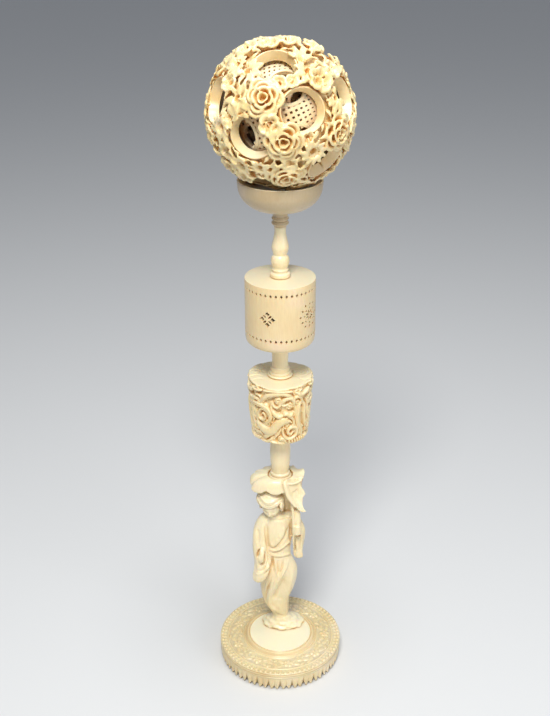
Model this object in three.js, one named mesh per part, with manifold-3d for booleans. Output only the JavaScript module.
// A carved ivory puzzle ball on its tall turned and carved stand.
// Millimetres, +Z up. The origin is the centre of the underside of the foot, and the front faces -Y.
import * as THREE from 'three';
import { ConvexHull } from 'three/addons/math/ConvexHull.js';
import { mergeVertices } from 'three/addons/utils/BufferGeometryUtils.js';
import Module from 'manifold-3d';

// The stand, from the floor up. Each piece screws on the one below with a hairline seam.
const SEAM = 0.1;

const FOOT_RADIUS = 40.6;
const FOOT_RIM_HEIGHT = 13.4;
const FOOT_BODY_RADIUS = 36.5;
const SKIRT_TEETH = 32;
const SKIRT_THICKNESS = 2.2;
const SKIRT_NOTCH = 4.6;
const SKIRT_LIFT = 0.6;
const MEDALLION_RADIUS = 22.6;
const MEDALLION_RISE = 2.2;
const MEDALLION_BEAD = 1.6;

const FIGURE_HEIGHT = 123;

const LOWER_POST_HEIGHT = 31.4;
const LOWER_POST_RADIUS = 6.4;
const CANOPY_SEAT_RADIUS = 8.2;

const CARVED_DRUM_HEIGHT = 40;
const CARVED_DRUM_TOP_RADIUS = 20.8;
const CARVED_DRUM_FOOT_RADIUS = 17.2;
const CARVED_DRUM_EDGE = 1.2;
const CARVED_DRUM_RELIEF = 3;
const CARVED_TURNS = [0, 125, 240];

const MIDDLE_POST_HEIGHT = 22.3;
const MIDDLE_POST_RADIUS = 5.2;

const PIERCED_DRUM_HEIGHT = 40.8;
const PIERCED_DRUM_RADIUS = 20.7;
const PIERCED_DRUM_WALL = 2.6;
const PIERCED_DRUM_LID = 4;
const PIERCED_DRUM_ROUNDING = 4.2;
const MOTIF_HEIGHT = 22.2;
const MOTIF_TURNS = [-21, 56, 159, 236];
const MOTIF_REACHES = [5.4, 7.4, 5.4, 7.4];

const BALUSTER_HEIGHT = 30.2;
const BALUSTER_RADIUS = 5.4;

const CUP_HEIGHT = 27.4;
const CUP_RADIUS = 24.1;
const CUP_WALL = 1.3;
const CUP_STEM_HEIGHT = 9.2;
const CUP_STEM_RADIUS = 4.9;
const SEAT_CLEARANCE = 0.5;

// The ball: an outer shell of flowers round three pierced shells, each turned on its own and resting in the next.
const BALL_RADIUS = 42;
const COLLAR_RADIUS = 38.9;
const GROUND_RADIUS = 37.6;
const OUTER_SHELL_WALL = 4.6;
const SHELL_GAP = 2.3;
const SHELL_WALL = 2.2;
const INNER_SHELLS = 3;
const SHELL_DROP = 0.5;
const WINDOW_HALF_ANGLE = 17.3;
const OUTER_WINDOW_SIDES = 10;
const INNER_WINDOW_SIDES = 6;
const ROSE_RADIUS = 9.6;
const ROSES = 10;
const BLOSSOM_RADIUS = 5.6;
const BLOSSOMS = 24;

// Directions on the ball as [turn from the front towards +X, height], in degrees.
const FRONT_WINDOWS = [[-7.7, 49.8], [18.5, 14.1], [-23.5, -6.4], [-69.9, 15.9], [51.1, -33.4], [66.8, 16.5]];
const FRONT_ROSES = [[-13.7, 23.5], [2.2, -7], [48.9, -7.4], [5.5, -41.2]];
const WINDOW_FRAME_TURN = [28.4, 66.1, -131.3];
const INNER_SHELL_TURNS = [[92, 66, -2], [-28, 14, 52], [12, 33, -20]];

const IVORY = new THREE.MeshStandardMaterial({ color: 0xefdcb4, roughness: 0.38, metalness: 0 });

const wasm = await Module();
wasm.setup();

const radians = THREE.MathUtils.degToRad;

// A closed mesh as a solid that can be joined and cut.
function solid(geometry) {
  const bare = geometry.index ? geometry.clone() : geometry;
  bare.deleteAttribute('normal');
  bare.deleteAttribute('uv');
  const merged = mergeVertices(bare, 1e-4);
  const corners = merged.index.array;
  const triangles = [];
  for (let i = 0; i < corners.length; i += 3) {
    const [a, b, c] = [corners[i], corners[i + 1], corners[i + 2]];
    if (a !== b && b !== c && c !== a) triangles.push(a, b, c);
  }
  return new wasm.Manifold(new wasm.Mesh({
    numProp: 3,
    vertProperties: new Float32Array(merged.attributes.position.array),
    triVerts: Uint32Array.from(triangles),
  }));
}

function geometryOf(manifold) {
  const mesh = manifold.getMesh();
  const geometry = new THREE.BufferGeometry();
  geometry.setAttribute('position', new THREE.BufferAttribute(new Float32Array(mesh.vertProperties), 3));
  geometry.setIndex(new THREE.BufferAttribute(new Uint32Array(mesh.triVerts), 1));
  geometry.computeVertexNormals();
  return geometry;
}

function joined(geometries) {
  return geometries.map(solid).reduce((sum, next) => sum.add(next));
}

function indexedGeometry(points, corners) {
  const geometry = new THREE.BufferGeometry();
  geometry.setAttribute('position', new THREE.Float32BufferAttribute(points.flatMap((p) => [p.x, p.y, p.z]), 3));
  geometry.setIndex(corners);
  geometry.computeVertexNormals();
  return geometry;
}

// A closed solid skinned over rings of points that run anticlockwise seen from the end they grow towards.
function skinned(rings) {
  const count = rings[0].length;
  const points = rings.flat();
  const corners = [];
  for (let k = 0; k + 1 < rings.length; k++) {
    for (let i = 0; i < count; i++) {
      const a = k * count + i;
      const b = k * count + (i + 1) % count;
      corners.push(a, b, b + count, a, b + count, a + count);
    }
  }
  for (const [ring, start, flip] of [[rings[0], 0, true], [rings.at(-1), points.length - count, false]]) {
    const centre = ring.reduce((sum, p) => sum.add(p), new THREE.Vector3()).divideScalar(count);
    points.push(centre);
    const hub = points.length - 1;
    for (let i = 0; i < count; i++) {
      const a = start + i;
      const b = start + (i + 1) % count;
      corners.push(hub, ...(flip ? [b, a] : [a, b]));
    }
  }
  return indexedGeometry(points, corners);
}

// One ring about +Z: radius and height may each be a number or a function of the turn.
function ring(count, radius, height, centreX = 0, centreY = 0) {
  const at = (value, turn) => (typeof value === 'function' ? value(turn) : value);
  return Array.from({ length: count }, (_, i) => {
    const turn = 2 * Math.PI * i / count;
    const r = at(radius, turn);
    return new THREE.Vector3(centreX + r * Math.cos(turn), centreY + r * Math.sin(turn), at(height, turn));
  });
}

// A turned piece from its outline, given as [radius, height] pairs from the foot up.
function turned(outline, sides) {
  const points = outline.map(([r, z]) => new THREE.Vector2(r, z));
  return new THREE.LatheGeometry(points, sides).rotateX(Math.PI / 2);
}

function named(name, geometry, z = 0) {
  const mesh = new THREE.Mesh(geometry, IVORY);
  mesh.name = name;
  mesh.position.z = z;
  return mesh;
}

// Directions on the ball.

function direction([turn, height]) {
  const [t, h] = [radians(turn), radians(height)];
  return new THREE.Vector3(Math.cos(h) * Math.sin(t), -Math.cos(h) * Math.cos(t), Math.sin(h));
}

// Fourteen windows, set out as the six faces and eight corners of a cube, then moved by eye at the front,
// with the others shifted until all are evenly spaced.
function windowDirections() {
  const [x, y, z] = WINDOW_FRAME_TURN.map(radians);
  const frame = new THREE.Euler(x, y, z, 'ZYX');
  const signs = [-1, 1];
  const windows = [];
  for (const s of signs) {
    windows.push(new THREE.Vector3(s, 0, 0), new THREE.Vector3(0, s, 0), new THREE.Vector3(0, 0, s));
    for (const t of signs) for (const u of signs) windows.push(new THREE.Vector3(s, t, u).normalize());
  }
  windows.forEach((w) => w.applyEuler(frame));
  const pinned = new Set();
  for (const front of FRONT_WINDOWS.map(direction)) {
    const nearest = windows.filter((w) => !pinned.has(w)).reduce((a, b) => (a.dot(front) > b.dot(front) ? a : b));
    nearest.copy(front);
    pinned.add(nearest);
  }
  const settlingSteps = 200;
  const step = 0.02;
  for (let k = 0; k < settlingSteps; k++) {
    for (const w of windows) {
      if (pinned.has(w)) continue;
      const push = new THREE.Vector3();
      for (const other of windows) {
        if (other === w) continue;
        const away = w.clone().sub(other);
        push.addScaledVector(away, 1 / away.length() ** 4);
      }
      w.addScaledVector(push, step).normalize();
    }
  }
  return windows;
}

// Evenly spread directions over the whole ball.
function spiralDirections(count) {
  const golden = Math.PI * (3 - Math.sqrt(5));
  return Array.from({ length: count }, (_, i) => {
    const z = 1 - (2 * i + 1) / count;
    const r = Math.sqrt(1 - z * z);
    return new THREE.Vector3(r * Math.cos(golden * i), r * Math.sin(golden * i), z);
  });
}

// Adds flowers one by one where there is most room between the windows and the flowers that are there already.
function addFlowers(flowers, kind, count, radius, windows, candidates, overlap) {
  const windowReach = radians(WINDOW_HALF_ANGLE);
  while (flowers.filter((f) => f.kind === kind).length < count) {
    let best = null;
    let bestRoom = -Infinity;
    for (const c of candidates) {
      let room = Infinity;
      for (const w of windows) room = Math.min(room, (c.angleTo(w) - windowReach) * GROUND_RADIUS);
      for (const f of flowers) room = Math.min(room, c.angleTo(f.at) * GROUND_RADIUS - f.radius * overlap);
      if (room > bestRoom) [best, bestRoom] = [c, room];
    }
    flowers.push({ kind, at: best, radius });
  }
}

// A circle of directions round an axis.
function circleAround(axis, halfAngle, sides) {
  const turn = new THREE.Quaternion().setFromUnitVectors(new THREE.Vector3(0, 0, 1), axis);
  return Array.from({ length: sides }, (_, i) => {
    const a = 2 * Math.PI * i / sides;
    const s = Math.sin(halfAngle);
    return new THREE.Vector3(s * Math.cos(a), s * Math.sin(a), Math.cos(halfAngle)).applyQuaternion(turn);
  });
}

// The faces of a skin through points that are spread by direction round a centre. Faces that span a window,
// whose three corners have the same owner, are left open.
function skinFaces(points) {
  const hull = new ConvexHull().setFromPoints(points.map((p) => p.d));
  const indexOf = new Map(points.map((p, i) => [p.d, i]));
  const faces = [];
  for (const face of hull.faces) {
    const [a, b, c] = [face.edge, face.edge.next, face.edge.prev].map((e) => indexOf.get(e.head().point));
    const owner = points[a].owner;
    if (owner === undefined || owner !== points[b].owner || owner !== points[c].owner) faces.push([a, b, c]);
  }
  return faces;
}

// Directions on the ground between the windows, so that no facet there cuts deep.
function groundDirections(windows) {
  const clear = radians(WINDOW_HALF_ANGLE + 7);
  return spiralDirections(60).filter((d) => windows.every((w) => d.angleTo(w) > clear));
}

// A hollow ball with a round window at each direction. Each window is a cone towards the centre.
function windowedShell({ rim, ground, inner, windows, sides, carving = [] }) {
  const rims = windows.flatMap((w, owner) => (
    circleAround(w, radians(WINDOW_HALF_ANGLE), sides).map((d) => ({ d, owner, radius: rim }))
  ));
  const covered = (d) => carving.some((c) => c.d.angleTo(d) < radians(3));
  const fillers = groundDirections(windows).map((d) => ({ d, radius: ground }));
  const outside = [...rims, ...fillers.filter(({ d }) => !covered(d)), ...carving];
  const inside = [...rims, ...fillers].map((p) => ({ ...p, radius: inner }));
  const count = outside.length;
  const corners = skinFaces(outside).flat();
  for (const [a, b, c] of skinFaces(inside)) corners.push(count + a, count + c, count + b);
  windows.forEach((w, owner) => {
    for (let i = 0; i < sides; i++) {
      const a = owner * sides + i;
      const b = owner * sides + (i + 1) % sides;
      corners.push(a, b, count + b, a, count + b, count + a);
    }
  });
  const points = [...outside, ...inside].map(({ d, radius }) => d.clone().multiplyScalar(radius));
  return indexedGeometry(points, corners);
}

// Carved bosses, as rings of [reach, height, points, lobe depth] in shares of the boss's radius and rise.
const ROSE_RINGS = [[0, 0.9, 1, 0], [0.26, 0.4, 8, 0], [0.5, 1, 8, 0], [0.62, 0.3, 8, 0], [0.98, 0.62, 8, 0.1], [1.1, 0, 8, 0.1]];
const BLOSSOM_RINGS = [[0, 0, 1, 0], [1, 0.85, 10, 0.42], [1.16, 0, 10, 0.4]];
const SCROLL_RINGS = [[0, 0.9, 1, 0], [0.36, 0.1, 6, 0], [0.72, 1, 6, 0], [1.05, 0, 6, 0]];

function bossPoints(rings, radius, rise) {
  return rings.flatMap(([reach, height, count, lobe]) => Array.from({ length: count }, (_, i) => {
    const turn = 2 * Math.PI * i / count;
    const dip = i % 2 ? lobe : 0;
    const r = radius * reach * (1 - dip);
    return { x: r * Math.cos(turn), y: r * Math.sin(turn), height: rise * height * (1 - dip) };
  }));
}

// How far above the ground a carved edge this far from the flower's axis may rise and stay inside the ball.
function crest(reach) {
  return Math.sqrt(BALL_RADIUS ** 2 - reach ** 2) - GROUND_RADIUS;
}

function flowerShell(windows) {
  const flowers = FRONT_ROSES.map((r) => ({ kind: 'rose', at: direction(r), radius: ROSE_RADIUS }));
  const candidates = spiralDirections(900);
  addFlowers(flowers, 'rose', ROSES, ROSE_RADIUS, windows, candidates, 1.7);
  addFlowers(flowers, 'blossom', BLOSSOMS, BLOSSOM_RADIUS, windows, candidates, 1.25);
  const carving = [];
  flowers.forEach((flower, k) => {
    const turn = new THREE.Quaternion().setFromUnitVectors(new THREE.Vector3(0, 0, 1), flower.at);
    const rings = flower.kind === 'rose' ? ROSE_RINGS : BLOSSOM_RINGS;
    const earlier = flowers.slice(0, k);
    for (const { x, y, height } of bossPoints(rings, flower.radius, crest(flower.radius * 0.6))) {
      const d = new THREE.Vector3(x, y, GROUND_RADIUS).normalize().applyQuaternion(turn);
      const clearOfWindows = windows.every((w) => d.angleTo(w) > radians(WINDOW_HALF_ANGLE + 1.5));
      const clearOfFlowers = earlier.every((f) => d.angleTo(f.at) * GROUND_RADIUS > f.radius * 1.15);
      if (clearOfWindows && clearOfFlowers) carving.push({ d, radius: GROUND_RADIUS + height });
    }
  });
  const inner = GROUND_RADIUS - OUTER_SHELL_WALL;
  return windowedShell({
    rim: COLLAR_RADIUS, ground: GROUND_RADIUS, inner, windows, sides: OUTER_WINDOW_SIDES, carving,
  });
}

function innerShells(windows) {
  const shells = [];
  let room = GROUND_RADIUS - OUTER_SHELL_WALL;
  let drop = 0;
  for (let k = 0; k < INNER_SHELLS; k++) {
    const outer = room - SHELL_GAP;
    const geometry = windowedShell({
      rim: outer,
      ground: outer,
      inner: outer - SHELL_WALL,
      windows,
      sides: INNER_WINDOW_SIDES,
    });
    const [x, y, z] = INNER_SHELL_TURNS[k].map(radians);
    geometry.applyQuaternion(new THREE.Quaternion().setFromEuler(new THREE.Euler(x, y, z, 'ZYX')));
    drop += SHELL_DROP;
    geometry.translate(0, 0, -drop);
    shells.push(geometry);
    room = outer - SHELL_WALL;
  }
  return shells;
}

// The foot: a disc with a raised medallion, and a hanging skirt of pointed teeth round its edge.
function foot() {
  const [rim, medallion, columns] = [FOOT_RIM_HEIGHT, MEDALLION_RADIUS, SKIRT_TEETH * 2];
  const tip = (lift) => (t) => lift + (Math.round(t * columns / (2 * Math.PI)) % 2 ? SKIRT_NOTCH : 0);
  return skinned([
    ring(columns, FOOT_BODY_RADIUS, 0), ring(columns, FOOT_BODY_RADIUS, tip(SKIRT_LIFT + SKIRT_THICKNESS)),
    ring(columns, FOOT_RADIUS, tip(SKIRT_LIFT)), ring(columns, FOOT_RADIUS, rim),
    ring(columns, medallion + MEDALLION_BEAD, rim - 0.2), ring(columns, medallion, rim + MEDALLION_RISE),
  ]);
}

// The carved lady under her lotus leaf. Her own sizes are in hundredths of the figure's height.
const PERCENT = FIGURE_HEIGHT / 100;

function at(x, y, z) {
  return new THREE.Vector3(x, y, z).multiplyScalar(PERCENT);
}

// A soft limb or garment skinned over [x, y, z, half width, half depth] stations, with folds round it.
function garment(stations, count, folds = () => 0) {
  return skinned(stations.map(([x, y, z, wide, deep], k) => {
    const share = k / (stations.length - 1);
    return Array.from({ length: count }, (_, i) => {
      const t = 2 * Math.PI * i / count;
      const swell = 1 + folds(t, share);
      return at(x + wide * swell * Math.cos(t), y + deep * swell * Math.sin(t), z);
    });
  }));
}

function robe() {
  const skirtFolds = (t, share) => (share < 0.55 ? 0.08 * Math.cos(7 * t + 9 * share) : 0.03 * Math.cos(5 * t));
  return garment([
    [0, 7.4, 6.4, 3.8, 3.8], [-0.2, 7.2, 9.6, 4.8, 4.4], [-1.3, 6.6, 13.4, 6, 5.2], [-2, 5.8, 20, 7.4, 5.9],
    [-1.8, 4.8, 27, 8.9, 6.8], [-1, 3.6, 35, 9.9, 7.2], [-1, 3, 41.7, 9.9, 7], [-1.8, 2.6, 47.5, 8.4, 6],
    [-2, 2, 52, 7.6, 5.8], [-2, 1.4, 60, 8, 6.4], [-1.8, 1.2, 67, 8.8, 6.4], [-1.6, 1, 72.5, 9, 5.6],
    [-2.2, 0.6, 76, 6.4, 4.4], [-3.6, -0.4, 78.4, 3.4, 3.2], [-4.2, -1.2, 81.5, 3, 3],
  ], 16, skirtFolds);
}

function head() {
  const skull = garment([
    [-4.6, -3, 77.4, 1.8, 2], [-4.8, -3, 79.4, 4.2, 4.6], [-4.8, -2.6, 83, 5.4, 6], [-4.8, -2, 87, 5.6, 6.2],
    [-4.6, -1.2, 91, 4, 4.4],
  ], 9);
  const waves = (t) => 0.06 * Math.cos(7 * t);
  const hair = garment([
    [-4.6, -0.2, 82.4, 5.4, 4.6], [-4.8, -0.6, 85, 6.4, 6], [-4.8, -1.8, 87.6, 6.6, 7.2], [-4.6, -1.4, 91.6, 5, 5.4],
  ], 14, waves);
  const nose = garment([[-4.9, -8.6, 81.8, 0.9, 1.1], [-4.9, -8.7, 82.6, 0.8, 0.9], [-4.9, -8.2, 85, 0.4, 0.6]], 6);
  const sideCurl = garment([[1.6, -1.4, 82, 1, 1.2], [2, -2, 84.6, 2.2, 2.2], [1.4, -1.8, 88, 1.6, 1.8]], 7);
  const backKnot = garment([[-4.2, 4, 83, 1.6, 1.6], [-4.2, 4.8, 86, 3.4, 3], [-4.2, 4.2, 90, 2.2, 2.2]], 8);
  return [skull, hair, nose, sideCurl, backKnot];
}

function sleeves() {
  const draped = (t, share) => 0.08 * Math.cos(3 * t + 5 * share);
  const left = garment([
    [-11.6, -3.8, 35.4, 1.6, 1.2], [-11.4, -4, 38.6, 3, 2.4], [-10.4, -4, 42.6, 3.6, 2.8], [-9.4, -3.4, 46.5, 3.2, 3.2],
    [-10, -2.8, 51, 3.6, 3.6], [-10.6, -2, 57, 4.2, 4.2], [-10.4, -0.6, 65, 4.2, 4.4], [-9, 0.4, 71.4, 3.8, 4.2],
    [-6.4, 0.8, 75.6, 3.2, 3.2],
  ], 8, draped);
  const right = garment([
    [11, -2.8, 53, 0.8, 0.8], [9.8, -2.6, 56, 2.4, 2.2], [9.4, -2.2, 60.5, 3, 2.8], [9.4, -1.6, 65.3, 3.4, 3.4],
    [8.2, -0.2, 71, 3.2, 3.6], [5.4, 0.8, 75.6, 3, 3],
  ], 8, draped);
  const hand = garment([[8.2, -5.4, 66, 1.2, 1], [7.6, -5.8, 68.5, 2.4, 2], [8.4, -4.8, 71.4, 1.6, 1.8]], 6);
  const cuff = garment([[-9.6, -7, 45, 0.8, 0.8], [-9.6, -6.8, 48, 1.9, 1.5], [-10, -5.4, 51.5, 1.7, 1.6]], 6);
  const stem = garment([[5.6, -5.2, 56, 0.9, 0.9], [5.6, -6, 72, 0.9, 0.9], [5.8, -6.6, 92, 0.9, 0.9]], 6);
  return [left, right, hand, cuff, stem];
}

// The lotus leaf that roofs the figure, with a frilled rim, and the boss that the post screws into.
function canopy() {
  const count = 22;
  const [wide, deep] = [14.2, 9];
  const oval = (share, frill) => (t) => {
    const radius = wide * deep / Math.hypot(deep * Math.cos(t), wide * Math.sin(t));
    return PERCENT * radius * share * (1 + frill * Math.cos(7 * t + 0.6));
  };
  const wave = (height, depth) => (t) => PERCENT * (height + depth * Math.cos(7 * t + 1.2) + 2.4 * Math.sin(t));
  const rings = [
    ring(count, PERCENT * 4.4, PERCENT * 89), ring(count, oval(0.72, 0.03), wave(93.4, 0.4)),
    ring(count, oval(1, 0.09), wave(94.6, 1.4)), ring(count, oval(0.97, 0.08), wave(97.4, 1.2)),
    ring(count, oval(0.7, 0.03), wave(96.8, 0.4)), ring(count, CANOPY_SEAT_RADIUS * 0.8, PERCENT * 98),
  ];
  const leaf = skinned(rings).translate(-0.6 * PERCENT, 1.2 * PERCENT, 0);
  const neckHeight = 7 * PERCENT;
  const neck = turned([
    [0, 0], [CANOPY_SEAT_RADIUS * 0.8, 0], [CANOPY_SEAT_RADIUS, neckHeight], [0, neckHeight],
  ], 16).translate(0, 0, FIGURE_HEIGHT - neckHeight);
  const fallingLeaf = garment([
    [13.2, -6, 82.4, 0.4, 0.4], [10.4, -6.6, 86, 2.6, 0.9], [8.2, -7.2, 90.4, 4.2, 1.2], [7.8, -7.6, 93, 4.9, 1.6],
    [6.4, -5.2, 97.6, 4.2, 3.6],
  ], 8);
  return [leaf, neck, fallingLeaf];
}

function mound() {
  const lobes = (radius, depth) => (t) => PERCENT * radius * (1 + depth * Math.cos(5 * t));
  const base = PERCENT * 7;
  return skinned([
    ring(14, lobes(10.4, 0.06), 0, 0, base), ring(14, lobes(9.2, 0.1), PERCENT * 2.4, 0, base),
    ring(14, lobes(6.6, 0.12), PERCENT * 5, 0, base + PERCENT * 0.4), ring(14, lobes(4.6, 0.08), PERCENT * 7.6, 0, base),
  ]);
}

function figure() {
  const slivers = 0.2;
  return joined([mound(), robe(), ...head(), ...sleeves(), ...canopy()]).simplify(slivers);
}

// The carved drum's cloud bands and scrolls, as [turn in degrees, share of the drum's height] on its side.
const CLOUD_BANDS = [
  [[-37, 0.82], [-24, 0.92], [-4, 0.96], [17, 0.92]],
  [[-84, 0.66], [-54, 0.73], [-30, 0.7], [-18, 0.6]],
  [[-30, 0.2], [-19, 0.35], [-5, 0.47], [12, 0.52], [24, 0.46]],
  [[33, 0.78], [40, 0.5], [52, 0.24]],
];
const CLOUD_SCROLLS = [[-38, 0.5, 4.4], [20, 0.27, 4.6], [0, 0.7, 3.6], [-52, 0.17, 3.6], [-8, 0.1, 3], [42, 0.09, 2.8]];
const BAND_WIDTH = 4.6;

function carvedDrum() {
  const [h, foot, top, relief] = [
    CARVED_DRUM_HEIGHT, CARVED_DRUM_FOOT_RADIUS, CARVED_DRUM_TOP_RADIUS, CARVED_DRUM_RELIEF,
  ];
  const points = [];
  // A point at a turn, a height share and a depth below the drum's outline, spread by its height from pole to pole.
  const place = (turn, share, depth, latitude = THREE.MathUtils.lerp(-55, 60, share)) => {
    const round = Math.min(1, 0.8 + share * 2.2);
    const radius = THREE.MathUtils.lerp(foot, top, Math.max(0, share) ** 0.8) * round - depth;
    const p = new THREE.Vector3(radius * Math.sin(turn), -radius * Math.cos(turn), share * h);
    return { d: direction([turn / radians(1), latitude]), p, turn, share };
  };
  const near = (a, b, room) => Math.hypot(
    Math.atan2(Math.sin(a.turn - b.turn), Math.cos(a.turn - b.turn)) * top, (a.share - b.share) * h,
  ) < room;
  const add = (candidates, room) => {
    const earlier = points.slice();
    points.push(...candidates.filter((c) => (
      c.share > 0.03 && c.share < 1 - 1.4 * CARVED_DRUM_EDGE / h && !earlier.some((e) => near(c, e, room))
    )));
  };
  for (const shift of CARVED_TURNS.map(radians)) {
    for (const [turn, share, radius] of CLOUD_SCROLLS) {
      const boss = bossPoints(SCROLL_RINGS, radius, relief);
      add(boss.map(({ x, y, height }) => place(radians(turn) + shift + x / top, share + y / h, relief - height)), 1.6);
    }
  }
  for (const shift of CARVED_TURNS.map(radians)) {
    for (const band of CLOUD_BANDS) {
      const line = band.map(([turn, share]) => new THREE.Vector3((radians(turn) + shift) * top, share * h, 0));
      const curve = new THREE.CatmullRomCurve3(line);
      const steps = Math.round(curve.getLength() / 4);
      const strip = curve.getSpacedPoints(steps).flatMap((c, k) => {
        const along = curve.getTangentAt(k / steps);
        return [[-0.5, 0.9], [0, 0], [0.5, 0.9]].map(([side, depth]) => {
          const [x, y] = [c.x - along.y * side * BAND_WIDTH, c.y + along.x * side * BAND_WIDTH];
          return place(x / top, y / h, depth * relief);
        });
      });
      add(strip, 1.9);
    }
  }
  const [columns, rows] = [18, 5];
  const ground = [];
  for (let i = 0; i < columns; i++) {
    for (let k = 0; k < rows; k++) ground.push(place(2 * Math.PI * (i + k / 2) / columns, 0.1 + 0.8 * k / (rows - 1), relief));
  }
  add(ground, 2.6);
  for (let i = 0; i < columns; i++) {
    const turn = 2 * Math.PI * i / columns;
    points.push(place(turn, 0, 2, -68), place(turn, 1 - CARVED_DRUM_EDGE / h, 0, 66), place(turn, 1, CARVED_DRUM_EDGE, 74));
  }
  return indexedGeometry(points.map(({ p }) => p), skinFaces(points).flat());
}

// The hollow drum, pierced on its side with motifs of kites and slits.
function piercedDrum() {
  const [r, h, wall, lid, round] = [
    PIERCED_DRUM_RADIUS, PIERCED_DRUM_HEIGHT, PIERCED_DRUM_WALL, PIERCED_DRUM_LID, PIERCED_DRUM_ROUNDING,
  ];
  const corner = round * (1 - Math.SQRT1_2);
  const body = turned([
    [0, 0], [r - round, 0], [r - corner, corner], [r, round], [r, h - 0.5], [r - 0.5, h], [0, h],
  ], 26);
  const hollow = turned([[0, lid], [r - wall, lid], [r - wall, h - lid], [0, h - lid]], 16);
  let drum = solid(body).subtract(solid(hollow));
  MOTIF_TURNS.forEach((turn, k) => {
    const reach = MOTIF_REACHES[k];
    const petals = 4;
    for (let p = 0; p < petals; p++) {
      const angle = 2 * Math.PI * p / petals;
      const shape = new THREE.Shape([
        new THREE.Vector2(reach * 0.42, 0), new THREE.Vector2(reach * 0.72, -reach * 0.26),
        new THREE.Vector2(reach, 0), new THREE.Vector2(reach * 0.72, reach * 0.26),
      ].map((c) => c.rotateAround(new THREE.Vector2(), angle)));
      const cutter = new THREE.ExtrudeGeometry(shape, { depth: r, bevelEnabled: false });
      cutter.rotateX(Math.PI / 2).translate(0, -r / 2, MOTIF_HEIGHT).rotateZ(radians(turn));
      drum = drum.subtract(solid(cutter));
    }
  });
  const slivers = 0.05;
  return drum.simplify(slivers);
}

function baluster() {
  const [h, r] = [BALUSTER_HEIGHT, BALUSTER_RADIUS];
  const outline = [
    [1.08, 0], [1.08, 0.1], [0.86, 0.12], [0.89, 0.18], [0.81, 0.2], [0.91, 0.26], [1, 0.33], [0.9, 0.43], [0.7, 0.46],
    [0.85, 0.51], [0.92, 0.58], [0.81, 0.7], [0.66, 0.8], [0.6, 0.92], [0.64, 1],
  ];
  return turned([[0, 0], ...outline.map(([a, b]) => [a * r, b * h]), [0, h]], 12);
}

function cup(ballCentre) {
  const [h, stem, r, collar] = [CUP_HEIGHT, CUP_STEM_HEIGHT, CUP_RADIUS, CUP_STEM_RADIUS];
  const bowl = h - stem;
  const lip = r - CUP_WALL;
  const hollow = BALL_RADIUS + SEAT_CLEARANCE;
  const seat = [0.85, 0.55, 0.25].map((share) => [lip * share, ballCentre - Math.sqrt(hollow ** 2 - (lip * share) ** 2)]);
  return turned([
    [0, 0], [collar * 0.73, 0], [collar, stem * 0.24], [collar * 0.88, stem * 0.42], [collar, stem * 0.56],
    [collar * 0.9, stem * 0.78], [collar * 1.3, stem + 0.4], [r * 0.52, stem + bowl * 0.12],
    [r * 0.82, stem + bowl * 0.34], [r * 0.96, stem + bowl * 0.62], [r, h], [lip, h], ...seat,
    [0, ballCentre - hollow - 0.5],
  ], 18);
}

function lowerPost() {
  const [h, r, seat] = [LOWER_POST_HEIGHT, LOWER_POST_RADIUS, CANOPY_SEAT_RADIUS];
  return turned([
    [0, 0], [seat * 0.9, 0], [seat * 0.88, h * 0.08], [r * 0.92, h * 0.1], [r * 0.9, h * 0.19], [r * 0.83, h * 0.21],
    [r * 0.96, h * 0.4], [r, h * 0.62], [r * 0.94, h * 0.86], [r * 0.84, h], [0, h],
  ], 12);
}

function middlePost() {
  const [h, r] = [MIDDLE_POST_HEIGHT, MIDDLE_POST_RADIUS];
  return turned([
    [0, 0], [r * 1.48, 0], [r * 1.44, h * 0.09], [r * 1.18, h * 0.12], [r * 1.1, h * 0.27], [r * 0.92, h * 0.29],
    [r * 0.94, h * 0.62], [r * 1.03, h * 0.7], [r * 1.02, h], [0, h],
  ], 12);
}

// The pieces, stacked from the floor up.
const object = new THREE.Group();
let level = 0;

function stack(name, geometry, height) {
  object.add(named(name, geometry, level));
  level += height + SEAM;
}

stack('scalloped_foot', foot(), FOOT_RIM_HEIGHT + MEDALLION_RISE);
stack('lady_under_lotus_leaf', geometryOf(figure()), FIGURE_HEIGHT);
stack('lower_post', lowerPost(), LOWER_POST_HEIGHT);
stack('carved_cloud_drum', carvedDrum(), CARVED_DRUM_HEIGHT);
stack('middle_post', middlePost(), MIDDLE_POST_HEIGHT);
stack('pierced_drum', geometryOf(piercedDrum()), PIERCED_DRUM_HEIGHT);
stack('baluster_post', baluster(), BALUSTER_HEIGHT);

const cupLip = CUP_RADIUS - CUP_WALL;
const ballHeight = CUP_HEIGHT + Math.sqrt((BALL_RADIUS + SEAT_CLEARANCE) ** 2 - cupLip ** 2);
object.add(named('ball_cup', cup(ballHeight), level));

const windows = windowDirections();
const ball = new THREE.Group();
ball.position.z = level + ballHeight;
ball.add(named('flower_shell', flowerShell(windows)));
innerShells(windows).forEach((geometry, k) => ball.add(named(`inner_shell_${k + 1}`, geometry)));
object.add(ball);

export default object;
